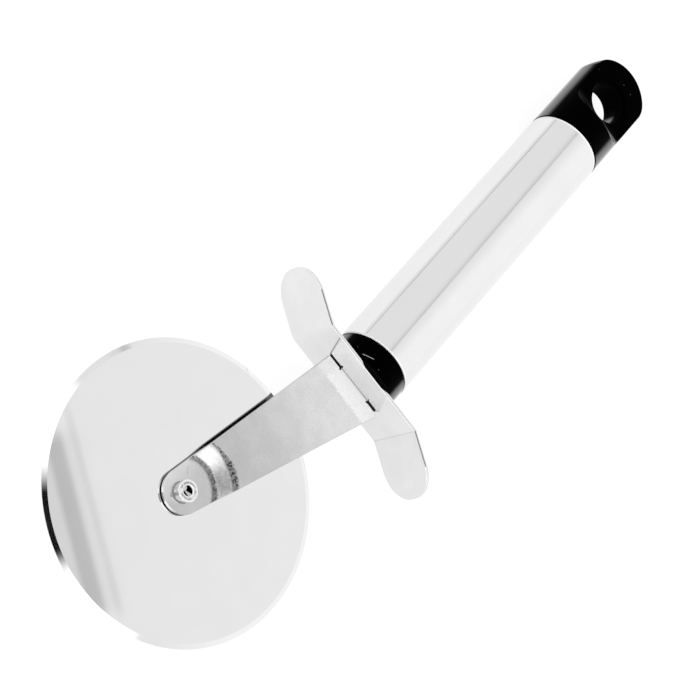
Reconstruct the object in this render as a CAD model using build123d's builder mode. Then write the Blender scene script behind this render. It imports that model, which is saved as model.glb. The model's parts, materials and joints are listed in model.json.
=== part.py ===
# Pizza cutter lying on its side: a round blade on a stepped arm, a finger guard and a tube handle.
# +Y runs from the blade to the end cap, +Z up out of the blade's front face, +X across.
# The origin is on the surface that the cutter lies on, under the middle of its outline.

import os
from math import atan2, cos, degrees, radians, sin, sqrt, tan

from build123d import *

os.makedirs("parts", exist_ok=True)

# Cutting disc
disc_diameter = 80.0
disc_thickness = 1.0
bevel_width = 1.4
edge_thickness = 0.2

# Axle rivet and its washers
shoulder_diameter = 5.0
tenon_diameter = 3.8
tenon_clearance = 0.03
lip_diameter = 6.3
lip_skirt = 1.25
crater_diameter = 2.5
crater_depth = 2.8
rear_head_diameter = 9.0
rear_head_height = 1.3
rear_head_rim = 0.4
washer_diameter = 10.4
washer_thickness = 0.3
running_clearance = 0.05
side_play = 0.1

# Blade arm
arm_sheet = 1.0
arm_tip_radius = 6.05
arm_taper = 4.0
step_height = 1.55
step_inner_radius = 9.7
step_outer_radius = 14.9
step_bend_radius = 5.0
shoulder_gap = 0.4
shoulder_corner_radius = 0.9
relief_radius = 0.3
tang_width = 11.7
tang_depth = 13.6
tang_lead = 1.5
sheet_edge_break = 0.2

# Finger guard
guard_sheet = 1.0
guard_width = 18.5
guard_bend_distance = 18.4
wing_length = 17.7
wing_angle = 26.0
wing_end_flat = 1.3
soft_bend_inside = 3.5
crease_inside = 0.5
guard_slot_clearance = 0.15

# Handle
handle_offset = 15.0
guard_distance = 59.9
tube_diameter = 22.5
tube_wall = 0.6
tube_length = 98.4
tube_edge_round = 0.25

# Front plug and the pin through its tang
nose_length = 7.4
nose_step = 0.2
nose_edge_round = 0.3
plug_insert_length = 26.0
tang_end_room = 1.0
tang_clearance = 0.05
pin_diameter = 3.0
pin_depth = 4.6
pin_end_room = 0.4
pin_clearance = 0.03

# End cap
cap_length = 34.4
end_round_extra = 0.5
end_corner_round = 4.5
flat_thickness = 10.0
flat_length = 18.4
runout_radius = 7.0
hang_hole_diameter = 12.0
hang_hole_from_end = 13.8
hang_hole_lip = 0.8
cap_base_round = 0.4
flat_edge_round = 0.5
spigot_length = 18.0
spigot_wall = 2.4

# Crush ribs on both mouldings
insert_clearance = 0.15
rib_radius = 0.6
rib_count = 6
rib_fit = 0.02

# Radii and levels that follow
disc_radius = disc_diameter / 2
shoulder_radius = shoulder_diameter / 2
tube_radius = tube_diameter / 2
bore_radius = tube_radius - tube_wall
insert_radius = bore_radius - insert_clearance
pin_radius = pin_diameter / 2
hole_radius = hang_hole_diameter / 2
half_flat = flat_thickness / 2

handle_z = max(tube_radius, guard_width / 2)
arm_back = handle_z - arm_sheet / 2
tip_back = arm_back - step_height
tip_front = tip_back + arm_sheet
disc_front = tip_back - washer_thickness - side_play
disc_back = disc_front - disc_thickness
rear_washer_front = disc_back - side_play
rivet_seat = rear_washer_front - washer_thickness

# The outline's middle sets where the handle and the axle stand across and along
wing_reach = guard_bend_distance + wing_length * cos(radians(wing_angle))
corner_loss = sheet_edge_break * (cos(radians(wing_angle)) + sin(radians(wing_angle)) - 1)
left_reach = wing_reach - corner_loss
right_reach = left_reach + guard_sheet * sin(radians(wing_angle))
outline_left = min(-handle_offset - disc_radius, -left_reach)
outline_right = max(disc_radius - handle_offset, right_reach)
handle_x = -(outline_left + outline_right) / 2
axle_x = handle_x - handle_offset

overall_length = disc_radius + guard_distance + guard_sheet + nose_length + tube_length + cap_length
axle_y = disc_radius - overall_length / 2
guard_front = axle_y + guard_distance
guard_back = guard_front + guard_sheet
tube_start = guard_back + nose_length
cap_start = tube_start + tube_length
cap_end = cap_start + cap_length
hole_y = cap_end - hang_hole_from_end
pin_y = tube_start + pin_depth
tang_end = tube_start + tang_depth

axle_axis = Axis((axle_x, axle_y, 0), (0, 0, 1))
hole_axis = Axis((handle_x, hole_y, 0), (0, 0, 1))
axle_section = Plane(origin=(axle_x, axle_y, 0), x_dir=(1, 0, 0), z_dir=(0, -1, 0))
hole_section = Plane(origin=(handle_x, hole_y, 0), x_dir=(1, 0, 0), z_dir=(0, -1, 0))
side_section = Plane(origin=(handle_x, 0, 0), x_dir=(0, 1, 0), z_dir=(1, 0, 0))


def across(y):
    """Plane square to the handle's axis at y, facing the end cap."""
    return Plane(origin=(handle_x, y, handle_z), x_dir=(-1, 0, 0), z_dir=(0, 1, 0))


def from_axle(angle, along, aside):
    """Point in plan: along a line that leans by angle from +Y at the axle, and aside from it."""
    lean = radians(angle)
    x = axle_x + along * sin(lean) + aside * cos(lean)
    y = axle_y + along * cos(lean) - aside * sin(lean)
    return (x, y)


# Cutting disc with a bevel on both sides of its rim
with BuildPart() as cutting_disc:
    with BuildSketch(axle_section):
        disc_bore = shoulder_radius + running_clearance
        bevel_start = disc_radius - bevel_width
        bevel_drop = (disc_thickness - edge_thickness) / 2
        with BuildLine():
            Polyline(
                (disc_bore, disc_back),
                (bevel_start, disc_back),
                (disc_radius, disc_back + bevel_drop),
                (disc_radius, disc_front - bevel_drop),
                (bevel_start, disc_front),
                (disc_bore, disc_front),
                close=True,
            )
        make_face()
    revolve(axis=axle_axis)
cutting_disc.part.label = "cutting_disc"
export_step(cutting_disc.part, "parts/cutting_disc.step")

# Shouldered rivet: domed rear head, shoulder for the disc, tenon rolled over the arm's tip
with BuildPart() as axle_rivet:
    with BuildSketch(axle_section):
        tenon_radius = tenon_diameter / 2
        lip_radius = lip_diameter / 2
        crater_radius = crater_diameter / 2
        head_radius = rear_head_diameter / 2
        roll_radius = (lip_radius - crater_radius) / 2
        roll_start = tip_front + lip_skirt
        lip_top = roll_start + roll_radius
        crater_floor = lip_top - crater_depth
        head_low = rivet_seat - rear_head_height
        with BuildLine():
            Line((0, head_low), (0, crater_floor))
            Polyline((0, crater_floor), (crater_radius, crater_floor), (crater_radius, roll_start))
            ThreePointArc(
                (crater_radius, roll_start),
                (crater_radius + roll_radius, lip_top),
                (lip_radius, roll_start),
            )
            Polyline(
                (lip_radius, roll_start),
                (lip_radius, tip_front),
                (tenon_radius, tip_front),
                (tenon_radius, tip_back),
                (shoulder_radius, tip_back),
                (shoulder_radius, rivet_seat),
                (head_radius, rivet_seat),
                (head_radius, rivet_seat - rear_head_rim),
            )
            TangentArc((0, head_low), (head_radius, rivet_seat - rear_head_rim), tangent=(1, 0))
        make_face()
    revolve(axis=axle_axis)
axle_rivet.part.label = "axle_rivet"
export_step(axle_rivet.part, "parts/axle_rivet.step")

# Front washer, against the arm's tip
with BuildPart() as front_washer:
    with BuildSketch(Plane.XY.offset(tip_back - washer_thickness)):
        with Locations((axle_x, axle_y)):
            Circle(washer_diameter / 2)
            Circle(shoulder_radius + running_clearance, mode=Mode.SUBTRACT)
    extrude(amount=washer_thickness)
front_washer.part.label = "front_washer"
export_step(front_washer.part, "parts/front_washer.step")

# Rear washer, against the rivet's head
with BuildPart() as rear_washer:
    with BuildSketch(Plane.XY.offset(rivet_seat)):
        with Locations((axle_x, axle_y)):
            Circle(washer_diameter / 2)
            Circle(shoulder_radius + running_clearance, mode=Mode.SUBTRACT)
    extrude(amount=washer_thickness)
rear_washer.part.label = "rear_washer"
export_step(rear_washer.part, "parts/rear_washer.step")

# Blade arm: a dished sheet round the axle, cut to the arm's tapered outline
with BuildPart() as blade_arm:
    arm_reach = tang_end - axle_y + handle_offset + tang_width
    with BuildSketch(axle_section):
        with BuildLine():
            FilletPolyline(
                (0, tip_back),
                (step_inner_radius, tip_back),
                (step_outer_radius, arm_back),
                (arm_reach, arm_back),
                radius=step_bend_radius,
            )
            offset(amount=arm_sheet, side=Side.LEFT)
        make_face()
    revolve(axis=axle_axis)
    lean = degrees(atan2(handle_offset, guard_distance))
    shoulder_y = guard_front - shoulder_gap
    with BuildSketch(Plane.XY.offset(tip_back)) as arm_outline:
        left_edge = lean - arm_taper
        right_edge = lean + arm_taper
        left_start = from_axle(left_edge, 0, -arm_tip_radius)
        right_start = from_axle(right_edge, 0, arm_tip_radius)
        left_corner_x = left_start[0] + (shoulder_y - left_start[1]) * tan(radians(left_edge))
        right_corner_x = right_start[0] + (shoulder_y - right_start[1]) * tan(radians(right_edge))
        tang_left = handle_x - tang_width / 2
        tang_right = handle_x + tang_width / 2
        with BuildLine():
            Polyline(
                left_start,
                (left_corner_x, shoulder_y),
                (tang_left, shoulder_y),
                (tang_left, tang_end - tang_lead),
                (tang_left + tang_lead, tang_end),
                (tang_right - tang_lead, tang_end),
                (tang_right, tang_end - tang_lead),
                (tang_right, shoulder_y),
                (right_corner_x, shoulder_y),
                right_start,
            )
            ThreePointArc(right_start, from_axle(lean, -arm_tip_radius, 0), left_start)
        make_face()
        right_corner = arm_outline.vertices().sort_by_distance((right_corner_x, shoulder_y, 0))[0]
        fillet(right_corner, radius=shoulder_corner_radius)
        with Locations((tang_left, shoulder_y), (tang_right, shoulder_y)):
            Circle(relief_radius, mode=Mode.SUBTRACT)
    extrude(amount=step_height + arm_sheet, mode=Mode.INTERSECT)
    flat_walls = blade_arm.faces().filter_by(GeomType.PLANE).filter_by(Axis.Z, reverse=True)
    long_walls = flat_walls.sort_by(SortBy.AREA)[-2:]
    fillet(long_walls.edges().filter_by(Axis.Z, reverse=True), radius=sheet_edge_break)
    with BuildSketch(Plane.XY.offset(tip_back)):
        with Locations((axle_x, axle_y)):
            Circle(tenon_diameter / 2 + tenon_clearance)
        with Locations((handle_x, pin_y)):
            Circle(pin_radius + pin_clearance)
    extrude(amount=step_height + arm_sheet, mode=Mode.SUBTRACT)
blade_arm.part.label = "blade_arm"
export_step(blade_arm.part, "parts/blade_arm.step")

# Finger guard: a strip with a soft bend towards the handle and a crease towards the blade
with BuildPart() as finger_guard:
    with BuildSketch(Plane.XY.offset(handle_z - guard_width / 2)):
        wing_x = wing_length * cos(radians(wing_angle))
        wing_y = wing_length * sin(radians(wing_angle))
        with BuildLine():
            FilletPolyline(
                (handle_x - guard_bend_distance - wing_x, guard_front + wing_y),
                (handle_x - guard_bend_distance, guard_front),
                (handle_x + guard_bend_distance, guard_front),
                (handle_x + guard_bend_distance + wing_x, guard_front - wing_y),
                radius=[soft_bend_inside + guard_sheet, crease_inside],
            )
            offset(amount=guard_sheet, side=Side.LEFT)
        make_face()
    extrude(amount=guard_width)
    wing_ends = [finger_guard.faces().sort_by(Axis.X)[0], finger_guard.faces().sort_by(Axis.X)[-1]]
    end_edges = [edge for face in wing_ends for edge in face.edges().filter_by(Axis.Z, reverse=True)]
    fillet(end_edges, radius=(guard_width - wing_end_flat) / 2)
    strip_sides = finger_guard.faces().filter_by(Axis.Z)
    fillet(strip_sides.edges().filter_by(Axis.Z, reverse=True), radius=sheet_edge_break)
    with BuildSketch(across(guard_front)):
        Rectangle(tang_width + 2 * guard_slot_clearance, arm_sheet + 2 * guard_slot_clearance)
    extrude(amount=guard_sheet, mode=Mode.SUBTRACT)
finger_guard.part.label = "finger_guard"
export_step(finger_guard.part, "parts/finger_guard.step")

# Handle tube with its end edges broken
with BuildPart() as handle_tube:
    with BuildSketch(across(tube_start)):
        Circle(tube_radius)
        Circle(bore_radius, mode=Mode.SUBTRACT)
    extrude(amount=tube_length)
    outer_rims = handle_tube.edges().filter_by(GeomType.CIRCLE).group_by(SortBy.RADIUS)[-1]
    fillet(outer_rims, radius=tube_edge_round)
handle_tube.part.label = "handle_tube"
export_step(handle_tube.part, "parts/handle_tube.step")

# Front plug: nose behind the guard, ribbed insert in the tube, slot for the tang, hole for the pin
with BuildPart() as front_plug:
    with BuildSketch(across(guard_back)):
        Circle(tube_radius - nose_step)
    extrude(amount=nose_length)
    fillet(front_plug.edges().sort_by(Axis.Y)[-1], radius=nose_edge_round)
    with BuildSketch(across(tube_start - nose_edge_round)):
        Circle(insert_radius)
        with PolarLocations(bore_radius - rib_fit - rib_radius, rib_count):
            Circle(rib_radius)
    extrude(amount=nose_edge_round + plug_insert_length)
    with BuildSketch(across(guard_back)):
        Rectangle(tang_width + 2 * tang_clearance, arm_sheet + 2 * tang_clearance)
    extrude(amount=nose_length + tang_depth + tang_end_room, mode=Mode.SUBTRACT)
    with BuildSketch(Plane.XY):
        with Locations((handle_x, pin_y)):
            Circle(pin_radius + pin_clearance)
    extrude(amount=tube_diameter, mode=Mode.SUBTRACT)
front_plug.part.label = "front_plug"
export_step(front_plug.part, "parts/front_plug.step")

# Pin through the plug and the tang, kept in by the tube round it
with BuildPart() as tang_pin:
    pin_half = sqrt(bore_radius**2 - pin_radius**2) - pin_end_room
    with BuildSketch(Plane.XY.offset(handle_z - pin_half)):
        with Locations((handle_x, pin_y)):
            Circle(pin_radius)
    extrude(amount=2 * pin_half)
tang_pin.part.label = "tang_pin"
export_step(tang_pin.part, "parts/tang_pin.step")

# End cap: round body with two flats, a round end in plan, a hang hole and a hollow ribbed spigot
with BuildPart() as end_cap:
    with BuildSketch(across(cap_start)):
        Circle(tube_radius)
    extrude(amount=cap_length)
    fillet(end_cap.edges().sort_by(Axis.Y)[0], radius=cap_base_round)
    flat_start = cap_end - flat_length
    runout_start = flat_start - runout_radius
    runout_turn = runout_radius * sin(radians(45))
    clear_of_cap = tube_diameter
    for side in (1, -1):
        flat_z = handle_z + side * half_flat
        runout_z = flat_z + side * runout_radius
        outside_z = runout_z + side * clear_of_cap
        with BuildSketch(side_section):
            with BuildLine():
                ThreePointArc(
                    (flat_start, flat_z),
                    (flat_start - runout_turn, runout_z - side * runout_turn),
                    (runout_start, runout_z),
                )
                Polyline(
                    (runout_start, runout_z),
                    (runout_start, outside_z),
                    (cap_end + clear_of_cap, outside_z),
                    (cap_end + clear_of_cap, flat_z),
                    (flat_start, flat_z),
                )
            make_face()
        extrude(amount=tube_diameter, both=True, mode=Mode.SUBTRACT)
    with BuildSketch(Plane.XY):
        end_radius = tube_radius + end_round_extra
        end_centre = cap_end - end_radius
        with BuildLine():
            Polyline(
                (handle_x - end_radius, end_centre),
                (handle_x - end_radius, cap_start),
                (handle_x + end_radius, cap_start),
                (handle_x + end_radius, end_centre),
            )
            ThreePointArc(
                (handle_x + end_radius, end_centre),
                (handle_x, cap_end),
                (handle_x - end_radius, end_centre),
            )
        make_face()
    extrude(amount=tube_diameter, mode=Mode.INTERSECT)
    end_wall = end_cap.faces().filter_by(GeomType.CYLINDER).sort_by(Axis.Y)[-1]
    fillet(end_wall.edges().filter_by(GeomType.BSPLINE), radius=end_corner_round)
    flat_outlines = end_cap.faces().filter_by(Axis.Z).edges()
    fillet(flat_outlines - flat_outlines.filter_by(Axis.X), radius=flat_edge_round)
    with BuildSketch(hole_section):
        lip_low = handle_z - half_flat
        lip_high = handle_z + half_flat
        mouth_radius = hole_radius + hang_hole_lip
        with BuildLine():
            Polyline(
                (mouth_radius, lip_high),
                (mouth_radius, lip_high + clear_of_cap),
                (0, lip_high + clear_of_cap),
                (0, lip_low - clear_of_cap),
                (mouth_radius, lip_low - clear_of_cap),
                (mouth_radius, lip_low),
            )
            RadiusArc((mouth_radius, lip_low), (hole_radius, lip_low + hang_hole_lip), hang_hole_lip)
            Line((hole_radius, lip_low + hang_hole_lip), (hole_radius, lip_high - hang_hole_lip))
            RadiusArc((hole_radius, lip_high - hang_hole_lip), (mouth_radius, lip_high), hang_hole_lip)
        make_face()
    revolve(axis=hole_axis, mode=Mode.SUBTRACT)
    with BuildSketch(across(cap_start + cap_base_round)):
        Circle(insert_radius)
        with PolarLocations(bore_radius - rib_fit - rib_radius, rib_count):
            Circle(rib_radius)
    extrude(amount=-cap_base_round - spigot_length)
    with BuildSketch(across(cap_start - spigot_length)):
        Circle(insert_radius - spigot_wall)
    extrude(amount=spigot_length, mode=Mode.SUBTRACT)
end_cap.part.label = "end_cap"
export_step(end_cap.part, "parts/end_cap.step")
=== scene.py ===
# %% [markdown]
# # A pizza cutter, from bare parts to a finished picture
#
# The cutter is a round steel blade that spins on a rivet, a flat steel arm, a bent finger guard and
# a polished tube handle with two black plastic mouldings. The parts already have their shape and
# their place: they come from the CAD model, in metres, and stay where they are. This lesson gives
# them their finish, models the one part that needs more than a plain solid, the rivet with its
# rolled and torn lip, and builds a small studio around them.

# %% Load the parts
import json
from math import asin, cos, degrees, radians, sin

import bmesh
import bpy
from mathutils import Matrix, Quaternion, Vector


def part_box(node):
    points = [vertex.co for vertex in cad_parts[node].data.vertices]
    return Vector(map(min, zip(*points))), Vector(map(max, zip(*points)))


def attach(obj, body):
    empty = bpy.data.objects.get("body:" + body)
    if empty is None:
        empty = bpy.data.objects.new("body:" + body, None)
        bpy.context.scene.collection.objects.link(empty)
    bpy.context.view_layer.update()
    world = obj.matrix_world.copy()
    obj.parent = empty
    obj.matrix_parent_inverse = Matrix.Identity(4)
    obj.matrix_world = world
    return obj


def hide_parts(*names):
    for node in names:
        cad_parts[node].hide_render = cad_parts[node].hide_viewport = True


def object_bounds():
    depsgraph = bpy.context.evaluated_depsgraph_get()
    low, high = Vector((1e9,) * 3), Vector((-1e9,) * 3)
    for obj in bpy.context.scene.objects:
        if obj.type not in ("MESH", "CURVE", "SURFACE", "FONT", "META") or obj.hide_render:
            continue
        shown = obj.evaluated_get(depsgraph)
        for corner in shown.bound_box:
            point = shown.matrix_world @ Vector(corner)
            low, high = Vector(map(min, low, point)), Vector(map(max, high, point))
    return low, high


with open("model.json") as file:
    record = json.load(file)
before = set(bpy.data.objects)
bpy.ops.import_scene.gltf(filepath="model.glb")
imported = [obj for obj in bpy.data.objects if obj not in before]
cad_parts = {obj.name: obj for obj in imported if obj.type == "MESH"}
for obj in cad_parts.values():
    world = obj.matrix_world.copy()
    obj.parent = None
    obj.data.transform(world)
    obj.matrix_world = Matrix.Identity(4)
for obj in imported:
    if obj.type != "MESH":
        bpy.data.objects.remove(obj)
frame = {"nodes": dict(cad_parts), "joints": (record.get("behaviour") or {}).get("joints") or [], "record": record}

cad_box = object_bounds()
mm = 0.001
parts = frame["nodes"]
print("parts:", ", ".join(sorted(parts)))

# %% [markdown]
# ## Where things are
#
# A finish has to land on the right spot of its part. The spots could be typed in as numbers, but
# then they would stay behind when a part gets another size. So the main places are read from the
# model: the blade's joint gives the axle, and the boxes of single parts give the rest.

# %% Places read from the model
def box_of(node):
    """Lowest and highest corner of a part."""
    low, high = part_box(node)
    return Vector(low), Vector(high)


axle = Vector(frame["joints"][0]["pos_m"])
blade_low, blade_high = box_of("cutting_disc")
blade_radius = (blade_high.x - blade_low.x) / 2
blade_middle = (blade_low + blade_high) / 2
tube_low, tube_high = box_of("handle_tube")
tube_half = (tube_high.y - tube_low.y) / 2
handle_middle = (tube_low + tube_high) / 2
print("blade", round(2 * blade_radius / mm, 2), "mm across, axle at", [round(v / mm, 2) for v in axle])
print("tube", round(2 * tube_half / mm, 2), "mm long")

# %% [markdown]
# ## The camera
#
# A product picture is taken from far away with a long lens, so that the round blade keeps its
# shape. The camera could be placed by hand, but it is easier to repeat when it is described the way
# a photographer would: what it aims at, how high and how far round it stands, and how much it is
# rolled. The roll lays the handle along the picture's diagonal.

# %% Place the camera
aim = blade_middle + Vector((7.83, 66.0, 2.93)) * mm
camera_height = radians(53.08)
camera_turn = radians(26.76)
camera_roll = radians(73.89)
camera_distance = 733.3 * mm
lens_length = 141.1
sensor_width = 36.0

looking = Vector((
    sin(camera_turn) * cos(camera_height),
    cos(camera_turn) * cos(camera_height),
    -sin(camera_height),
))
camera_data = bpy.data.cameras.new("product_camera")
camera_data.lens = lens_length
camera_data.sensor_width = sensor_width
camera = bpy.data.objects.new("product_camera", camera_data)
camera.location = aim - looking * camera_distance
camera.rotation_mode = "QUATERNION"
camera.rotation_quaternion = looking.to_track_quat("-Z", "Y") @ Quaternion((0, 0, 1), camera_roll)
bpy.context.scene.collection.objects.link(camera)
bpy.context.scene.camera = camera
bpy.context.scene.view_settings.view_transform = "Standard"
print("camera at", [round(v, 3) for v in camera.location])

# %% [markdown]
# ## Small helpers for shader nodes
#
# Materials, the floor and the light tent are all made of shader nodes. Added one by one they take
# many lines, so a few helpers do the repeated work: `add` makes a node and sets its options, `feed`
# joins an output to a socket or writes a plain value there, `calc` and `vector` do arithmetic,
# `times` and `invert` combine masks, `fade` turns a range of values into a soft step, and `mix` lays
# one value over another.

# %% Node helpers
def add(tree, kind, **options):
    """Add a shader node of this kind and set its options."""
    made = tree.nodes.new("ShaderNode" + kind)
    for option, value in options.items():
        setattr(made, option, value)
    return made


def feed(tree, socket, value):
    """Join an output to a socket, or write a plain value in it."""
    if isinstance(value, bpy.types.NodeSocket):
        tree.links.new(value, socket)
    else:
        socket.default_value = value


def calc(tree, operation, first, second=0.0):
    """One step of arithmetic on two values."""
    made = add(tree, "Math", operation=operation)
    feed(tree, made.inputs[0], first)
    feed(tree, made.inputs[1], second)
    return made.outputs["Value"]


def vector(tree, operation, first, second=(0, 0, 0)):
    """One step of arithmetic on two vectors; a dot product or a length comes out as a value."""
    made = add(tree, "VectorMath", operation=operation)
    feed(tree, made.inputs[0], first)
    feed(tree, made.inputs[1], second)
    return made.outputs["Value" if operation in ("DOT_PRODUCT", "LENGTH") else "Vector"]


def times(tree, first, second):
    """Product of two values; of two masks, the places where both hold."""
    return calc(tree, "MULTIPLY", first, second)


def invert(tree, mask):
    """1 where the mask is 0, and 0 where it is 1."""
    return calc(tree, "SUBTRACT", 1.0, mask)


def fade(tree, value, low, high, at_low=0.0, at_high=1.0):
    """A soft step: at_low where value is low or less, at_high where it is high or more."""
    made = add(tree, "MapRange", interpolation_type="SMOOTHSTEP")
    for socket, number in zip(made.inputs, (value, low, high, at_low, at_high)):
        feed(tree, socket, number)
    return made.outputs["Result"]


def mix(tree, mask, under, over):
    """Under where the mask is 0, over where it is 1."""
    made = add(tree, "Mix", data_type="FLOAT")
    for number, value in ((0, mask), (2, under), (3, over)):
        feed(tree, made.inputs[number], value)
    return made.outputs[0]


print("helpers: add, feed, calc, vector, times, invert, fade, mix")

# %% [markdown]
# ## The floor
#
# The cutter lies on a seamless white sheet. A white sheet that is only lit would come out grey
# beside bright steel, so most of its white is its own light, seen by the camera and, a little
# weaker, by reflections. The rest is an ordinary matt surface that takes the soft shadow under the
# cutter. The sheet ends not far left of the handle, so the tube mirrors the tent's foot there.

# %% Lay the floor
floor_size = 0.6
floor_left = -0.12
matt_white = 0.16
own_white = 0.905
mirrored_white = 0.845

bpy.ops.object.select_all(action="DESELECT")
bpy.ops.mesh.primitive_plane_add(
    size=floor_size, location=(floor_left + floor_size / 2, 0, cad_box[0][2]))
floor = bpy.context.object
floor.name = "white_sheet"
paper = bpy.data.materials.new("white_paper")
paper.use_nodes = True
tree = paper.node_tree
tree.nodes.clear()
path = add(tree, "LightPath")
mirrored = calc(tree, "MAXIMUM", path.outputs["Is Glossy Ray"], path.outputs["Is Transmission Ray"])
mirrored = times(tree, mirrored, mirrored_white)
direct = times(tree, path.outputs["Is Camera Ray"], own_white)
matt = add(tree, "BsdfDiffuse")
matt.inputs["Color"].default_value = (matt_white, matt_white, matt_white, 1)
glow = add(tree, "Emission")
feed(tree, glow.inputs["Strength"], calc(tree, "MAXIMUM", direct, mirrored))
both = add(tree, "AddShader")
feed(tree, both.inputs[0], matt.outputs["BSDF"])
feed(tree, both.inputs[1], glow.outputs["Emission"])
feed(tree, add(tree, "OutputMaterial").inputs["Surface"], both.outputs["Shader"])
floor.data.materials.append(paper)
print("floor", floor_size, "m wide at height", round(floor.location.z, 4))

# %% [markdown]
# ## The light tent
#
# Polished steel has no colour of its own to show: it shows what stands around it. Metal is
# therefore photographed inside a tent of white cloth. Cards and lamps could be set up for that, but
# the tent here is the world, because every feature of it is then just a direction. The dot product
# of a ray with a direction tells how near the ray comes to it, which gives round patches. A seam is
# a plane through the cutter, so a ray lies on it where its dot product with the plane's normal is
# nothing.

# %% Helpers for the tent
tent = bpy.data.worlds.new("light_tent")
bpy.context.scene.world = tent
tent.use_nodes = True
tent_tree = tent.node_tree
tent_tree.nodes.clear()
ray = add(tent_tree, "TexCoord").outputs["Generated"]


def toward(goal):
    """How nearly a ray of the tent points at a goal: 1 straight at it, 0 square to it."""
    return vector(tent_tree, "DOT_PRODUCT", ray, Vector(goal).normalized())


def round_patch(goal, inner, outer, strength):
    """Round patch of the tent: its strength up to the inner angle, 0 past the outer, in degrees."""
    return fade(tent_tree, toward(goal), cos(radians(outer)), cos(radians(inner)), 0.0, strength)


def seam(first, last, half_width, depth, run_out=1.4, soft=0.7):
    """Dark line in the cloth from one direction to another: 1 off the line, 1 - depth on it.

    Its sides fade over the soft share of the half width. Past its ends the line fades too, and it
    is gone at run_out times its half length.
    """
    first = Vector(first).normalized()
    last = Vector(last).normalized()
    reach = (last - first).length / 2
    off_line = calc(tent_tree, "ABSOLUTE", toward(first.cross(last)))
    off_middle = calc(tent_tree, "ABSOLUTE", toward(last - first))
    on_line = fade(tent_tree, off_line, (1 - soft) * half_width, (1 + soft) * half_width, depth, 0.0)
    within = fade(tent_tree, off_middle, reach, run_out * reach, 1.0, 0.0)
    return invert(tent_tree, times(tent_tree, on_line, within))


print("helpers for the tent: toward, round_patch, seam")

# %% [markdown]
# The tent is sewn from white cloths. The left one hangs a little darker than the right one, which
# gets brighter away from the line where they meet. The front cloth, behind the camera, is lit from
# outside. The soft box shines through as a bright patch, and a weaker patch lies on the left. Light
# adds up, so each of these is added to the cloth.

# %% Cloths and bright patches
left_cloth = 0.872
right_cloth = 0.90
bright_cloth = 1.04
front_cloth = 0.42
box_brightness = 1.0
left_brightness = 0.5
front_goal = Vector((0.0, -0.55, 0.83))
box_goal = Vector((0.352, -0.052, 0.93)).normalized()
left_goal = Vector((-0.236, 0.274, 0.933))
line_start = Vector((-0.198, 0.811, 1))
line_end = Vector((-0.035, 0.646, 1))

to_right = toward(line_start.cross(line_end))
light = fade(tent_tree, to_right, -0.01, 0.02, left_cloth, right_cloth)
brighter = fade(tent_tree, to_right, 0.0, 0.42, 0.0, bright_cloth - right_cloth)
light = calc(tent_tree, "ADD", light, brighter)
for patch in (
        round_patch(front_goal, 34, 46, front_cloth),
        round_patch(box_goal, 5.5, 11.2, box_brightness),
        round_patch(left_goal, 6, 12, left_brightness)):
    light = calc(tent_tree, "ADD", light, patch)
print("tent: left cloth", left_cloth, "right cloth", right_cloth, "to", bright_cloth)

# %% [markdown]
# A mirror that shows nothing but white looks like paper. What makes it steel are the dark lines in
# it: a wide and a narrow seam with their soft shades, a loose thread, a slit straight above, the
# opening for the lens, and the line at the horizon where the cloth ends, which is deeper on the
# left. Each takes its share off the light, so they are multiplied. The camera itself looks past the
# tent at plain white.

# %% Seams and openings
lens_shade = 0.7
horizon_height = 0.02
left_horizon = 0.42
right_horizon = 0.06

wide_seam = seam((0.127, 0.482, 1), (-0.360, 0.975, 1), half_width=0.022, depth=0.24)
wide_shade = seam((0.062, 0.482, 1), (-0.425, 0.975, 1), half_width=0.045, depth=0.07)
narrow_seam = seam(
    (0.2689, 0.5233, 1), (0.3287, 0.4906, 1), half_width=0.0031, depth=0.25, run_out=1.3, soft=0.45)
narrow_shade = seam(
    (0.2651, 0.5163, 1), (0.3249, 0.4836, 1), half_width=0.0115, depth=0.16, run_out=1.3)
thread = seam((0.2658, 0.5367, 1), (0.3347, 0.4994, 1), half_width=0.0013, depth=0.10, run_out=1.3)
slit_above = seam(
    (-0.105, 0.040, 0.994), (0.075, -0.068, 0.995), half_width=0.05, depth=1.0, run_out=2.0)
lens_opening = invert(tent_tree, round_patch(-looking, 12, 15, lens_shade))
off_horizon = calc(tent_tree, "SUBTRACT", toward((0, 0, 1)), horizon_height)
on_horizon = fade(tent_tree, calc(tent_tree, "ABSOLUTE", off_horizon), 0.006, 0.03, 1.0, 0.0)
horizon_depth = fade(tent_tree, toward((1, 0, 0)), -0.3, 0.3, left_horizon, right_horizon)
horizon = invert(tent_tree, times(tent_tree, on_horizon, horizon_depth))
dark_lines = (wide_seam, wide_shade, narrow_seam, narrow_shade, thread, slit_above)
for left_over in (*dark_lines, lens_opening, horizon):
    light = times(tent_tree, light, left_over)

camera_ray = add(tent_tree, "LightPath").outputs["Is Camera Ray"]
background = add(tent_tree, "Background")
feed(tent_tree, background.inputs["Color"], calc(tent_tree, "MAXIMUM", light, camera_ray))
feed(tent_tree, add(tent_tree, "OutputWorld").inputs["Surface"], background.outputs["Background"])
print("tent sewn with", len(dark_lines), "dark lines")

# %% [markdown]
# ## The soft box
#
# One soft box shines through the tent from above the blade and gives the shadow on the floor a
# direction. What the steel mirrors is the patch that it lights on the cloth, so the lamp itself is
# hidden from mirrors. A lamp's brightness is its power spread over its area and over all directions,
# so the power is worked out from the brightness of the patch.

# %% Hang the soft box
box_distance = 0.9
box_width = 0.40

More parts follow.
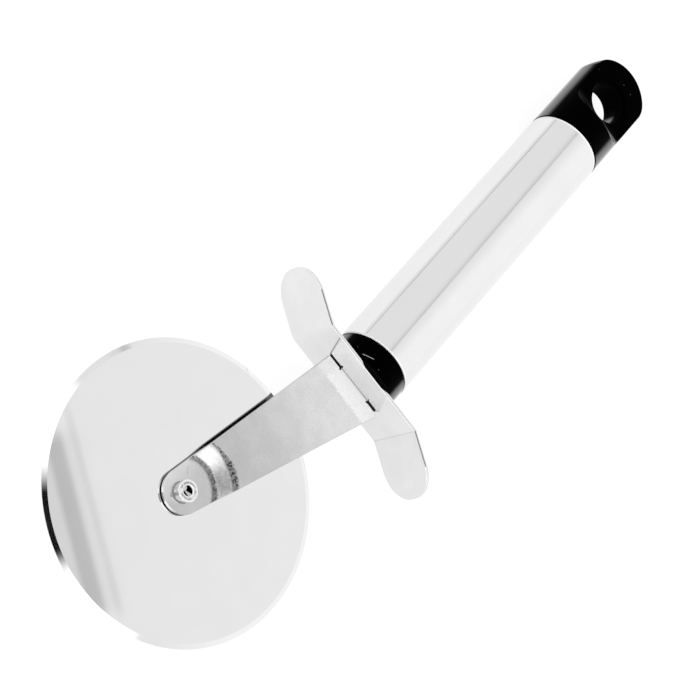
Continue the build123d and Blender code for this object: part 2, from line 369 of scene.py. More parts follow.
lamp = bpy.data.lights.new("soft_box", "AREA")
lamp.shape = "SQUARE"
lamp.size = box_width
lamp.energy = 4 * box_brightness * box_width ** 2
soft_box = bpy.data.objects.new("soft_box", lamp)
soft_box.location = axle + box_goal * box_distance
soft_box.rotation_euler = box_goal.to_track_quat("Z", "Y").to_euler()
soft_box.visible_camera = False
soft_box.visible_glossy = False
bpy.context.scene.collection.objects.link(soft_box)
print("soft box of", round(lamp.energy, 2), "W at", [round(v, 2) for v in soft_box.location])

# %% [markdown]
# ## Effects that several finishes share
#
# Real surfaces are never even. Rolled sheet is cloudy and grainy, and dust settles on everything.
# Each of these effects could be drawn again in every material, but a node group is built once and
# placed where it is needed with its own sizes. A group only gives masks; what a mask means for the
# surface is decided in the material.

# %% Cloud and grain
def new_group(name, sockets_in, sockets_out):
    """Empty shader node group with float sockets, apart from Position, which is a vector."""
    made = bpy.data.node_groups.new(name, "ShaderNodeTree")
    for socket in sockets_in:
        kind = "NodeSocketVector" if socket == "Position" else "NodeSocketFloat"
        made.interface.new_socket(socket, in_out="INPUT", socket_type=kind)
    for socket in sockets_out:
        made.interface.new_socket(socket, in_out="OUTPUT", socket_type="NodeSocketFloat")
    entry = made.nodes.new("NodeGroupInput").outputs
    leave = made.nodes.new("NodeGroupOutput").inputs
    return made, entry, leave


def noise(tree, position, scale, detail):
    """Soft random value from 0 to 1, spread so that it fills that range."""
    made = add(tree, "TexNoise")
    feed(tree, made.inputs["Vector"], position)
    feed(tree, made.inputs["Scale"], scale)
    made.inputs["Detail"].default_value = detail
    return fade(tree, made.outputs["Fac"], 0.3, 0.7)


sheet_cloud, entry, leave = new_group(
    "sheet_cloud", ["Position", "Cloud Size", "Grain Size"], ["Cloud", "Grain"])
for effect, detail in (("Cloud", 2.0), ("Grain", 3.0)):
    scale = calc(sheet_cloud, "DIVIDE", 1.0, entry[effect + " Size"])
    feed(sheet_cloud, leave[effect], noise(sheet_cloud, entry["Position"], scale, detail))
print("group", sheet_cloud.name)

# %% [markdown]
# Dust is a scatter of small specks. A Voronoi texture gives every point the distance to the nearest
# of many scattered centres, so a small distance is a speck. A random value for each cell keeps only
# a share of them.

# %% Dust
dust, entry, leave = new_group("dust", ["Position", "Spacing", "Speck Size", "Share"], ["Specks"])
cells = add(dust, "TexVoronoi")
feed(dust, cells.inputs["Vector"], entry["Position"])
feed(dust, cells.inputs["Scale"], calc(dust, "DIVIDE", 1.0, entry["Spacing"]))
speck_rim = calc(dust, "DIVIDE", entry["Speck Size"], entry["Spacing"])
speck_core = times(dust, speck_rim, 0.5)
speck = fade(dust, cells.outputs["Distance"], speck_core, speck_rim, 1.0, 0.0)
chance = add(dust, "SeparateColor")
feed(dust, chance.inputs["Color"], cells.outputs["Color"])
kept = calc(dust, "LESS_THAN", chance.outputs["Red"], entry["Share"])
feed(dust, leave["Specks"], times(dust, speck, kept))
print("group", dust.name)

# %% [markdown]
# ## Helpers for the finishes
#
# Every finish starts with the same few nodes: one shader, the position on the part and the way its
# surface faces. Marks are masks over them. A ring is a range of distances from the axle, a band is
# the values near a middle, and a scratch is a thin line whose ends run out. How deep a scratch lies
# hardly counts, so it also follows a round surface.

# %% Position, place and direction
def new_finish(name, metallic):
    """Material with one shader, its node tree and the position that its patterns follow."""
    made = bpy.data.materials.new(name)
    made.use_nodes = True
    tree = made.node_tree
    shader = tree.nodes["Principled BSDF"]
    shader.inputs["Metallic"].default_value = metallic
    return made, tree, shader, add(tree, "TexCoord").outputs["Object"]


def place(tree, group, position, **values):
    """Put a shared effect in a material with its own values, and return its outputs."""
    made = add(tree, "Group", node_tree=group)
    feed(tree, made.inputs["Position"], position)
    for socket, value in values.items():
        made.inputs[socket.replace("_", " ").title()].default_value = value
    return made.outputs


def faces_to(tree, goal):
    """How nearly the surface faces a direction: 1 straight at it, -1 straight away from it."""
    return vector(tree, "DOT_PRODUCT", add(tree, "TexCoord").outputs["Normal"], goal)


def from_line(tree, position, centre):
    """Distance of a point from an upright line through the centre."""
    flat = vector(tree, "MULTIPLY", vector(tree, "SUBTRACT", position, centre), (1, 1, 0))
    return vector(tree, "LENGTH", flat)


def along(tree, position, direction, start=(0, 0, 0)):
    """How far a point lies along a direction from a start."""
    return vector(tree, "DOT_PRODUCT", vector(tree, "SUBTRACT", position, start), direction)


print("helpers: new_finish, place, faces_to, from_line, along")

# %% [markdown]
# The second set draws marks, raises a surface and hands a finished material to its parts.

# %% Marks, bumps and dressing
def band(tree, value, middle, half_width, soft):
    """Mask of the values near a middle; soft is the share of the half width that fades out."""
    off = calc(tree, "ABSOLUTE", calc(tree, "SUBTRACT", value, middle))
    return fade(tree, calc(tree, "DIVIDE", off, half_width), 1.0 - soft, 1.0 + soft, 1.0, 0.0)


def scratch(tree, position, start, end, facing, half_width):
    """Mask of a thin line between two points on a surface that faces this way, in metres."""
    run = (end - start).normalized()
    middle = (start + end) / 2
    reach = (end - start).length / 2
    aside = calc(tree, "ABSOLUTE", along(tree, position, run.cross(facing).normalized(), middle))
    ahead = calc(tree, "ABSOLUTE", along(tree, position, run, middle))
    line = fade(tree, aside, 0.5 * half_width, 1.5 * half_width, 1.0, 0.0)
    line = times(tree, line, fade(tree, ahead, 0.7 * reach, reach, 1.0, 0.0))
    near_surface = fade(tree, along(tree, position, facing, middle), -1.2 * mm, -1.0 * mm)
    return times(tree, line, near_surface)


def bump(tree, shader, height, depth, strength):
    """Raise the surface by a height mask, depth metres at most."""
    made = add(tree, "Bump")
    made.inputs["Strength"].default_value = strength
    made.inputs["Distance"].default_value = depth
    feed(tree, made.inputs["Height"], height)
    feed(tree, shader.inputs["Normal"], made.outputs["Normal"])


def dress(material, *nodes):
    """Give CAD parts their material."""
    for node in nodes:
        parts[node].material_slots[0].material = material
    print(material.name, "on", ", ".join(nodes))


print("helpers: band, scratch, bump, dress")

# %% [markdown]
# ## The blade
#
# The blade is stamped from stainless sheet, polished to a mirror and ground to a narrow bevel at its
# rim. The ground bevel is a little brighter and less smooth than the face. It could be a material of
# its own on picked faces, but one material is enough: the distance from the axle tells the bevel
# from the face.

# %% Blade finish
bevel_width = 1.4 * mm
bevel_soft = 0.05 * mm
bevel_start = blade_radius - bevel_width

blade_finish, tree, shader, position = new_finish("blade_polish", 1.0)
bevel = fade(tree, from_line(tree, position, axle), bevel_start - bevel_soft, bevel_start + bevel_soft)
sheet = place(tree, sheet_cloud, position, cloud_size=9 * mm, grain_size=0.25 * mm)
specks = place(tree, dust, position, spacing=6 * mm, speck_size=0.14 * mm, share=0.3)["Specks"]
colour = mix(tree, bevel, mix(tree, sheet["Cloud"], 0.836, 0.850), 0.86)
feed(tree, shader.inputs["Base Color"], mix(tree, specks, colour, 1.0))
roughness = mix(tree, bevel, mix(tree, sheet["Grain"], 0.010, 0.016), 0.05)
feed(tree, shader.inputs["Roughness"], mix(tree, specks, roughness, 0.5))
dress(blade_finish, "cutting_disc")

# %% [markdown]
# ## The arm
#
# The arm is stamped from plainer sheet. Where the die bent it, at the two bends of the step, the
# grain opened up and left dark bands, wider and more pitted on the right-hand side. They could be
# painted on an image, but as rings round the axle they need no image. Noise shifts their edges and
# punches holes in them, so that they look pitted and not painted.

# %% Bands of the arm
arm_low, arm_high = box_of("blade_arm")
plug_front = box_of("front_plug")[0].y
guard_sheet = 1.0 * mm
guard_front = plug_front - guard_sheet
inner_bend = 9.3 * mm
outer_bend = 14.95 * mm
band_soft = 0.5
to_guard = Vector((handle_middle.x - axle.x, guard_front - axle.y, 0)).normalized()
to_right_edge = Vector((to_guard.y, -to_guard.x, 0))

arm_finish, tree, shader, position = new_finish("arm_sheet", 1.0)
pits = place(tree, sheet_cloud, position, cloud_size=0.7 * mm, grain_size=0.7 * mm)
wobble = times(tree, calc(tree, "SUBTRACT", pits["Cloud"], 0.5), 0.3 * mm)
distance = calc(tree, "ADD", from_line(tree, position, axle), wobble)
right_side = fade(tree, along(tree, position, to_right_edge, axle), -6.5 * mm, 1.5 * mm)
inner_half = mix(tree, right_side, 0.65 * mm, 0.8 * mm)
outer_half = mix(tree, right_side, 0.3 * mm, 1.0 * mm)
inner_band = band(tree, distance, inner_bend, inner_half, band_soft)
outer_band = band(tree, distance, outer_bend, outer_half, band_soft)
bands = calc(tree, "MAXIMUM", inner_band, outer_band)
holes = fade(tree, pits["Grain"], 0.25, 0.5, 1.0, 0.0)
holes = times(tree, holes, mix(tree, right_side, 0.5, 1.0))
holes = times(tree, holes, mix(tree, outer_band, 0.35, 1.0))
print("bands at", inner_bend / mm, "and", outer_bend / mm, "mm from the axle")

# %% [markdown]
# The sheet between them is cloudy, and painted light makes it brighter towards the guard and on the
# tip, most on its left. Painted shade darkens the step on its right, with a mottle, and one hair-fine
# scratch lies beside the rivet. Each is a factor on the face's grey, so that they can overlap without a border.

# %% Face of the arm
arm_sheet = 1.0 * mm
tip_top = arm_low.z + arm_sheet
step_half = (outer_bend - inner_bend) / 2
hair_start = Vector((axle.x - 3.80 * mm, axle.y + 5.85 * mm, tip_top))
hair_end = Vector((axle.x - 2.10 * mm, axle.y + 3.89 * mm, tip_top))

sheet = place(tree, sheet_cloud, position, cloud_size=5 * mm, grain_size=0.35 * mm)
face = mix(tree, sheet["Cloud"], 0.53, 0.57)
grainy = mix(tree, sheet["Grain"], 0.965, 1.03)
# painted light: the sheet grows brighter towards the guard
painted_light_to_guard = fade(tree, along(tree, position, to_guard, axle), 15 * mm, 60 * mm, 1.0, 1.41)
on_tip = fade(tree, distance, inner_bend - 2 * mm, inner_bend, 1.0, 0.0)
# painted light: the whole tip is brighter, most on its left
left_of_axle = fade(tree, along(tree, position, (-1, 0, 0), axle), -1 * mm, 6 * mm, 1.06, 1.36)
on_step = band(tree, distance, inner_bend + step_half, step_half, 0.2)
# painted shade: the right side of the step is darker, with a mottle
step_shade_mottle = mix(tree, pits["Cloud"], 0.84, 1.08)
painted_tip_light = mix(tree, on_tip, 1.0, left_of_axle)
painted_step_shade = mix(tree, times(tree, on_step, right_side), 1.0, step_shade_mottle)
for factor in (grainy, painted_light_to_guard, painted_tip_light, painted_step_shade):
    face = times(tree, face, factor)
pitted = mix(tree, holes, mix(tree, pits["Cloud"], 0.20, 0.38), 0.05)
pitted = times(tree, pitted, mix(tree, right_side, 1.0, 0.68))
colour = mix(tree, bands, face, pitted)
hair = scratch(tree, position, hair_start, hair_end, Vector((0, 0, 1)), 0.06 * mm)
colour = mix(tree, hair, colour, 0.34)
print("step", round(2 * step_half / mm, 2), "mm wide, top of the tip at", round(tip_top / mm, 2), "mm")

# %% [markdown]
# The last stretch before the guard is matt, and painted near white as a highlight. A polished strip
# and the guard would be two mirrors that show each other equally bright, but the strip is brighter
# than its image in the guard, so it has to be matt. Metallic goes down to 0 there, which makes the
# shader an ordinary white surface. The strip's edge runs a little aslant, the grain breaks it up, and
# the painted highlight is fainter on the left.

# %% Matt strip of the arm, with a painted highlight
arm_half = arm_high.x - handle_middle.x
strip_length = 5.35 * mm
strip_fade = 0.5 * mm
strip_slope = 0.04
tooth = 0.35 * mm
left_fade_width = 3.0 * mm
left_fade_soft = 1.5 * mm
left_strip_share = 0.35

lengthwise = along(tree, position, (0, 1, 0))
off_middle = along(tree, position, (1, 0, 0), handle_middle)
ragged = lengthwise
for shift in (
        times(tree, sheet["Grain"], tooth),
        times(tree, pits["Cloud"], tooth),
        times(tree, off_middle, strip_slope)):
    ragged = calc(tree, "ADD", ragged, shift)
strip_start = guard_front - strip_length
near_guard = fade(tree, ragged, strip_start, strip_start + strip_fade)
off_left = calc(tree, "ADD", off_middle, times(tree, pits["Cloud"], left_fade_soft))
left_fade_end = left_fade_width - arm_half
fainter_left = fade(tree, off_left, left_fade_end, left_fade_end + left_fade_soft, left_strip_share, 1.0)
near_guard = times(tree, near_guard, fainter_left)
# painted highlight: the matt strip is coloured near white, fainter on the left
matt_painted_bright = times(tree, near_guard, fade(tree, faces_to(tree, (0, 0, 1)), 0.75, 0.9))
colour = mix(tree, matt_painted_bright, colour, mix(tree, sheet["Grain"], 0.84, 0.92))
feed(tree, shader.inputs["Metallic"], mix(tree, matt_painted_bright, 1.0, 0.0))
print("frosted strip", strip_length / mm, "mm long")

# %% [markdown]
# The shoulders of the arm stop just short of the guard. That slit is painted black as shade, so the
# walls of the shoulders are black: the walls between the arm's side edges and near its end. The small
# notch at the left end of the tang is painted black as shade too. The rounded edges of the cut are
# bright, and painted darker as shade where they face right. The long wall on the left and the back are
# painted dark as shade. The way the surface faces tells all of these apart.

# %% Painted shade, edges and back of the arm
slit_reach = arm_half - 0.58 * mm
slit_middle = handle_middle.x - 0.42 * mm
tang_half = 5.85 * mm
notch_centre = Vector((handle_middle.x - tang_half, guard_front - 0.4 * mm, 0))
painted_shade_black = 0.01
painted_shade_roughness = 0.7

flatness = calc(tree, "ABSOLUTE", faces_to(tree, (0, 0, 1)))
# painted shade: the slit at the guard and the notch at the tang are black
slit = band(tree, along(tree, position, (1, 0, 0)), slit_middle, slit_reach, 0.01)
slit = times(tree, slit, fade(tree, flatness, 0.4, 0.6, 1.0, 0.0))
slit = times(tree, slit, fade(tree, lengthwise, guard_front - 0.58 * mm, guard_front - 0.50 * mm))
notch = fade(tree, from_line(tree, position, notch_centre), 0.32 * mm, 0.42 * mm, 1.0, 0.0)
painted_shade = calc(tree, "MAXIMUM", slit, notch)
edge = fade(tree, flatness, 0.75, 0.9, 1.0, 0.0)
faces_right = faces_to(tree, to_right_edge)
# painted shade: edges that face right are darker
colour = mix(tree, edge, colour, fade(tree, faces_right, 0.3, 0.6, 0.85, 0.3))
left_wall = fade(tree, faces_right, -0.95, -0.75, 1.0, 0.0)
left_wall = times(tree, left_wall, fade(tree, flatness, 0.15, 0.4, 1.0, 0.0))
# painted shade on the long wall on the left
colour = mix(tree, left_wall, colour, 0.2)
back = fade(tree, faces_to(tree, (0, 0, 1)), -0.6, -0.3, 1.0, 0.0)
# painted shade on the back of the arm
colour = mix(tree, back, colour, 0.14)
feed(tree, shader.inputs["Base Color"], mix(tree, painted_shade, colour, painted_shade_black))
print("slit", round(2 * slit_reach / mm, 2), "mm wide at the guard")

# %% [markdown]
# What is left is how sharply the arm mirrors. The tip is smoother than the rest of the face, so it
# mirrors the rivet, and the bands and the strip are dull. The pits of the bands are also a bump,
# because colour alone would look printed.

# %% Gloss and pits of the arm
roughness = mix(tree, on_tip, mix(tree, sheet["Cloud"], 0.19, 0.24), 0.13)
roughness = mix(tree, near_guard, roughness, 0.55)
roughness = mix(tree, bands, roughness, 0.42)
roughness = mix(tree, edge, roughness, 0.10)
feed(tree, shader.inputs["Roughness"], mix(tree, painted_shade, roughness, painted_shade_roughness))
pitting = times(tree, bands, pits["Grain"])
ripple = times(tree, sheet["Grain"], times(tree, near_guard, 0.1))
bump(tree, shader, calc(tree, "ADD", pitting, ripple), 0.05 * mm, 0.6)
dress(arm_finish, "blade_arm")

# %% [markdown]
# ## The finger guard
#
# The guard is a bent strip, brighter than the arm, a little cloudy, and painted a little darker on its
# right as shade. Painted black shade sits in the narrow gap where the shoulders of the arm stand off it,
# and in the slot above the tang. A dark line of painted shade runs along the sharp bend on the right.
# All of these lie at known places across the guard, so they are bands of its width and height.

# %% Face of the guard
bend_distance = 18.4 * mm
shade_reach = 10 * mm

guard_finish, tree, shader, position = new_finish("guard_sheet", 1.0)
sheet = place(tree, sheet_cloud, position, cloud_size=7 * mm, grain_size=0.3 * mm)
specks = place(tree, dust, position, spacing=5 * mm, speck_size=0.13 * mm, share=0.25)["Specks"]
across = along(tree, position, (1, 0, 0))
# painted shade: black in the gap beside the arm and in the slot above the tang
beside_arm = band(tree, across, slit_middle, slit_reach + 0.1 * mm, 0.01)
beside_tang = band(tree, across, handle_middle.x, tang_half, 0.01)
shade_half = mix(tree, beside_tang, 0.66 * mm, 0.76 * mm)
behind_arm = band(tree, along(tree, position, (0, 0, 1)), arm_high.z - arm_sheet / 2, shade_half, 0.1)
painted_shade = times(tree, beside_arm, behind_arm)
# painted shade: a dark line along the right bend
bend_shade = band(tree, across, handle_middle.x + bend_distance, 0.22 * mm, 0.6)
# painted shade: the face gets darker towards the right
face = fade(tree, across, handle_middle.x - shade_reach, handle_middle.x + shade_reach, 0.83, 0.785)
for factor in (
        mix(tree, sheet["Cloud"], 0.98, 1.02),
        mix(tree, specks, 1.0, 0.8),
        mix(tree, bend_shade, 1.0, 0.9)):
    face = times(tree, face, factor)
print("guard bends", bend_distance / mm, "mm from the handle's middle")

# %% [markdown]
# Its sheared edges are bright, with a dark line painted on as a reflection: along the front half of
# the edge on the straight stretches, and along the back half on the round ends. The sheet passes through
# its bend, so the distance from the bend along the way it faces tells the front half from the back.

# %% Edges of the guard
wing_angle = radians(26)
wing_front = Vector((-sin(wing_angle), -cos(wing_angle), 0))
straight = 9 * mm
line_soft = 0.02


def front_half(facing, bend):
    """Mask of the front half of a sheet that faces this way and passes through a bend."""
    return fade(tree, along(tree, position, facing, bend), -0.6 * mm, -0.4 * mm)


edge = fade(tree, calc(tree, "ABSOLUTE", faces_to(tree, (0, 0, 1))), 0.5, 0.8)
top = fade(tree, faces_to(tree, (0, 0, 1)), 0.85, 0.97)
colour = mix(tree, top, mix(tree, edge, face, 0.95), 0.83)
middle = Vector((handle_middle.x, guard_front, 0))
# painted dark reflection on the top edge; the mask named torn is painted, not a tear
torn = times(tree, front_half((0, -1, 0), middle), band(tree, across, middle.x, bend_distance, line_soft))
colour = mix(tree, times(tree, top, torn), colour, 0.62)
end_wall = fade(tree, calc(tree, "ABSOLUTE", faces_to(tree, wing_front)), 0.3, 0.6, 1.0, 0.0)
# painted dark reflections along the edges of both wings
for side in (-1, 1):
    bend = middle + Vector((side * bend_distance, 0, 0))
    in_front = front_half(wing_front, bend)
    on_straight = band(tree, across, bend.x + side * straight / 2, straight / 2, line_soft)
    torn = times(tree, in_front, on_straight)
    colour = mix(tree, times(tree, top, torn), colour, 0.24)
    round_end = fade(tree, along(tree, position, (side, 0, 0), bend), straight, straight + 0.5 * mm)
    torn = times(tree, times(tree, end_wall, invert(tree, in_front)), round_end)
    colour = mix(tree, torn, colour, 0.70)
feed(tree, shader.inputs["Base Color"], mix(tree, painted_shade, colour, painted_shade_black))
roughness = mix(tree, edge, mix(tree, sheet["Grain"], 0.05, 0.16), 0.06)
feed(tree, shader.inputs["Roughness"], mix(tree, painted_shade, roughness, painted_shade_roughness))
dress(guard_finish, "finger_guard")

# %% [markdown]
# ## The tube
#
# The handle tube is the brightest part: drawn stainless tube, polished along its length. The polish
# leaves faint lines that run with the tube, which is noise on a position that is squeezed along it.
# Both ends have a thin matt rim, painted white as a highlight that catches the light from all
# round. As on the arm, matt means that Metallic goes down to 0.

# %% Tube finish
line_width = 0.3 * mm
line_stretch = 0.02
front_rim_width = 0.25 * mm
front_rim_fade = 0.15 * mm
rear_rim_width = 0.55 * mm
rear_rim_fade = 0.2 * mm

tube_finish, tree, shader, position = new_finish("tube_polish", 1.0)
squeezed = vector(tree, "MULTIPLY", position, (1, line_stretch, 1))
lines = noise(tree, squeezed, 1 / line_width, 1.0)
sheet = place(tree, sheet_cloud, position, cloud_size=12 * mm, grain_size=0.5 * mm)
specks = place(tree, dust, position, spacing=7 * mm, speck_size=0.14 * mm, share=0.3)["Specks"]
face = times(tree, mix(tree, sheet["Cloud"], 0.838, 0.853), mix(tree, specks, 1.0, 0.86))
from_front = along(tree, position, (0, 1, 0), tube_low)
from_rear = along(tree, position, (0, -1, 0), tube_high)
front_rim = fade(tree, from_front, front_rim_width, front_rim_width + front_rim_fade, 1.0, 0.0)
rear_rim = fade(tree, from_rear, rear_rim_width, rear_rim_width + rear_rim_fade, 1.0, 0.0)
# painted highlight: the rims at both ends are matt white
painted_rim_highlight = calc(tree, "MAXIMUM", front_rim, rear_rim)
feed(tree, shader.inputs["Base Color"], mix(tree, painted_rim_highlight, face, 1.0))
feed(tree, shader.inputs["Metallic"], mix(tree, painted_rim_highlight, 1.0, 0.0))
feed(tree, shader.inputs["Roughness"], mix(tree, painted_rim_highlight, mix(tree, lines, 0.06, 0.11), 0.6))
dress(tube_finish, "handle_tube")

# %% [markdown]
# ## Washers and the pin
#
# The washers and the cross pin are plain turned steel, mostly hidden. They differ only in how fine
# their marks are, so one function makes both finishes.

# %% Washer and pin finish
def turned_finish(name, fine):
    """Plain turned steel with fine marks."""
    made, tree, shader, position = new_finish(name, 1.0)
    sheet = place(tree, sheet_cloud, position, cloud_size=2 * mm, grain_size=fine)
    feed(tree, shader.inputs["Base Color"], mix(tree, sheet["Cloud"], 0.62, 0.70))
    feed(tree, shader.inputs["Roughness"], mix(tree, sheet["Grain"], 0.14, 0.3))
    return made


dress(turned_finish("washer_turned", 0.2 * mm), "front_washer", "rear_washer")
dress(turned_finish("pin_drawn", 0.15 * mm), "tang_pin")

# %% [markdown]
# ## The rivet
#
# The blade turns on a shouldered rivet. Its domed head is behind the blade, and in front its hollow
# end was rolled outwards over the arm by a press tool, which left a lumpy lip and tore the wall of
# the hole. A plain solid can't show that, so this part is modelled. First comes its outline, half of
# the section from the middle of the dome to the middle of the hole, with arcs where it is round.

# %% Outline of the rivet
rivet_low, rivet_high = box_of("axle_rivet")
seat = box_of("rear_washer")[0].z
head_radius = (rivet_high.x - rivet_low.x) / 2
head_rim = 0.4 * mm
head_chamfer = 0.1 * mm
shoulder_radius = 2.5 * mm
tenon_radius = 1.9 * mm
skirt_radius = 2.65 * mm
lip_radius = 2.98 * mm
lip_low = rivet_high.z - 1.4 * mm
lip_round = 0.25 * mm
hole_round = 0.4 * mm
crater_radius = 1.32 * mm
crater_floor = tip_top - 0.5 * mm
floor_radius = 0.2 * mm
tear_top = rivet_high.z - hole_round
tear_low = tear_top - 0.35 * mm


def arc(centre_radius, centre_height, radius, start, end, count):
    """Points of an arc in the rivet's section, radius and height, from one angle to another."""
    turns = [radians(start + (end - start) * step / count) for step in range(count + 1)]
    return [(centre_radius + radius * cos(turn), centre_height + radius * sin(turn)) for turn in turns]


head_drop = seat - head_rim - rivet_low.z
dome_radius = (head_radius ** 2 + head_drop ** 2) / (2 * head_drop)
dome_reach = degrees(asin(head_radius / dome_radius))
outline = arc(0, rivet_low.z + dome_radius, dome_radius, -90 + 0.1 * dome_reach, -90 + dome_reach, 6)
outline += [(head_radius, seat - head_chamfer), (head_radius - head_chamfer, seat)]
outline += [(shoulder_radius, seat), (shoulder_radius, arm_low.z)]
outline += [(tenon_radius, arm_low.z), (tenon_radius, tip_top)]
outline += [(skirt_radius, tip_top), (skirt_radius, lip_low)]
outline += arc(lip_radius - lip_round, lip_low + 1.2 * lip_round, lip_round, -70, 0, 5)
outline += arc(lip_radius - lip_round, rivet_high.z - lip_round, lip_round, 0, 90, 7)
outline += arc(crater_radius + hole_round, rivet_high.z - hole_round, hole_round, 90, 180, 8)
outline += [(0.97 * crater_radius, tear_low), (0.93 * crater_radius, tip_top + 0.8 * mm)]
outline += [(0.87 * crater_radius, tip_top + 0.2 * mm), (0.82 * crater_radius, crater_floor)]
outline += [(floor_radius, crater_floor)]
print("outline of", len(outline), "points, lip", round(2 * lip_radius / mm, 2), "mm across")

# %% [markdown]
# A round part could be spun from its outline, but here a disc is extruded upwards step by step and
# resized to the outline's radius, which is how one would do it by hand and leaves every ring of faces
# ready for the tears.

# %% Turn the rivet
sides = 96
first_radius, first_height = outline[0]
bpy.ops.object.select_all(action="DESELECT")
bpy.ops.mesh.primitive_circle_add(
    vertices=sides, radius=first_radius, fill_type="NGON", location=(axle.x, axle.y, first_height))
rivet = bpy.context.object
rivet.name = "rolled_rivet"
bpy.ops.object.transform_apply(location=True)
bpy.ops.object.mode_set(mode="EDIT")
bpy.ops.mesh.select_mode(type="FACE")
bpy.ops.mesh.select_all(action="SELECT")
for (radius, height), (next_radius, next_height) in zip(outline, outline[1:]):
    rise = (0, 0, next_height - height)
    bpy.ops.mesh.extrude_region_move(TRANSFORM_OT_translate={"value": rise})
    growth = next_radius / radius
    bpy.ops.transform.resize(value=(growth, growth, 1), center_override=(axle.x, axle.y, next_height))
bpy.ops.mesh.select_all(action="SELECT")
bpy.ops.mesh.normals_make_consistent(inside=False)
print("rivet turned,", len(outline), "rings")

# %% [markdown]
# The press tool struck a little off centre, so the rolled end stands to one side of the axle. All
# faces above the arm are picked by their height and pushed across together.

# %% Push the rolled end off centre
lip_shift = Vector((0.19, -0.03, 0)) * mm
lip_centre = axle + lip_shift


def pick_faces(piece, centre, wanted):
    """Select the faces of a piece in edit mode whose middle, seen from a centre, is wanted."""
    bpy.ops.mesh.select_all(action="DESELECT")
    shape = bmesh.from_edit_mesh(piece.data)
    for face in shape.faces:
        face.select_set(wanted(face.calc_center_median() - centre))
    bmesh.update_edit_mesh(piece.data)


above_arm = tip_top + 0.1 * mm - axle.z
pick_faces(rivet, axle, lambda spot: spot.z > above_arm)
bpy.ops.transform.translate(value=lip_shift)
print("rolled end moved by", [round(v / mm, 2) for v in lip_shift])

# %% [markdown]
# Where the hollow end tore, two tongues of its wall were pushed in and nearly meet, so the hole
# shows as a large and a small dark gap. Each tongue is a patch of wall, picked by its place,
# extruded inwards and drawn to a tip.

# %% Tear the hole
def tear(side, line, tip_line, half_width, length, taper, drop):
    """Push a tongue of the crater's wall inwards and down from one side, 1 for right, -1 for left."""
    low = tear_low - axle.z
    high = tear_top - axle.z
    pick_faces(rivet, lip_centre, lambda spot: low < spot.z < high and side * spot.x > 0.4 * mm
               and spot.xy.length < crater_radius and abs(spot.y - line) < half_width)
    bpy.ops.mesh.extrude_region_move(TRANSFORM_OT_translate={"value": (-side * length, 0, -drop)})
    tip = lip_centre + Vector((side * (crater_radius - length), tip_line, (low + high) / 2 - drop))
    bpy.ops.transform.resize(value=(0.15, taper, 0.5), center_override=tip)


tear(side=1, line=-0.26 * mm, tip_line=-0.50 * mm, half_width=0.50 * mm,
     length=1.85 * mm, taper=0.30, drop=0.06 * mm)
tear(side=-1, line=-0.10 * mm, tip_line=-0.30 * mm, half_width=0.80 * mm,
     length=0.9 * mm, taper=0.60, drop=0.18 * mm)
bpy.ops.object.mode_set(mode="OBJECT")
print("rivet torn,", len(rivet.data.polygons), "faces")

# %% [markdown]
# The press tool left the lip uneven. A Displace modifier with a cloud texture pushes the surface in
# and out a little, only where a vertex group says so: on the roll, not on the shoulder that the
# blade runs on.

# %% Dent the lip
lip = rivet.vertex_groups.new(name="lip")
lip.add([vertex.index for vertex in rivet.data.vertices if vertex.co.z > lip_low], 1.0, "REPLACE")
lumps = bpy.data.textures.new("lip_lumps", "CLOUDS")
lumps.noise_scale = 0.45 * mm
dents = rivet.modifiers.new("dents", "DISPLACE")
dents.texture = lumps
dents.texture_coords = "LOCAL"
dents.vertex_group = lip.name
dents.strength = 0.2 * mm
dents.mid_level = 0.6
bpy.ops.object.modifier_apply(modifier=dents.name)
bpy.ops.object.shade_smooth_by_angle(angle=radians(40))
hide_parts("axle_rivet")
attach(rivet, "handle")
print("lip dented,", len(rivet.data.vertices), "vertices")

# %% [markdown]
# The rivet is bright drawn steel. Its hole is painted dark as shade: black deep down, and grey on the
# torn wall above. A ring of darker patches on the top of the lip is painted shade. The skirt under the
# lip was never polished and is dull, and it is painted darker as shade under the lip. Height and
# distance from the middle of the lip tell these apart.

# %% Rivet finish
lip_shade_radius = 2.1 * mm
lip_shade_half = 0.32 * mm

rivet_finish, tree, shader, position = new_finish("rivet_rolled", 1.0)
sheet = place(tree, sheet_cloud, position, cloud_size=0.8 * mm, grain_size=0.2 * mm)
height = along(tree, position, (0, 0, 1))
off_centre = from_line(tree, position, lip_centre)
# painted shade: the hole is grey, and black deep down
in_hole = fade(tree, off_centre, crater_radius, crater_radius + 0.1 * mm, 1.0, 0.0)
in_hole = times(tree, in_hole, fade(tree, height, crater_floor - 0.7 * mm, crater_floor - 0.5 * mm))
painted_hole_shade = times(tree, in_hole, fade(tree, height, tear_low - 0.3 * mm, tear_low, 1.0, 0.0))
# painted shade: a ring of darker patches on the top of the lip
painted_lip_shade = band(tree, off_centre, lip_shade_radius, lip_shade_half, 0.5)
painted_lip_shade = times(tree, painted_lip_shade, fade(tree, sheet["Cloud"], 0.35, 0.75))
lip_top = mix(tree, painted_lip_shade, mix(tree, sheet["Cloud"], 0.80, 0.95), 0.42)
# the skirt is dull, and painted darker as shade under the lip
skirt = fade(tree, faces_to(tree, (0, 0, 1)), -0.3, 0.15, 1.0, 0.0)
colour = mix(tree, in_hole, mix(tree, skirt, lip_top, 0.72), 0.6)
feed(tree, shader.inputs["Base Color"], mix(tree, painted_hole_shade, colour, 0.005))
roughness = mix(tree, skirt, mix(tree, sheet["Grain"], 0.06, 0.16), 0.55)
feed(tree, shader.inputs["Roughness"], mix(tree, painted_hole_shade, roughness, painted_shade_roughness))
rivet.data.materials.append(rivet_finish)
print(rivet_finish.name, "on", rivet.name)

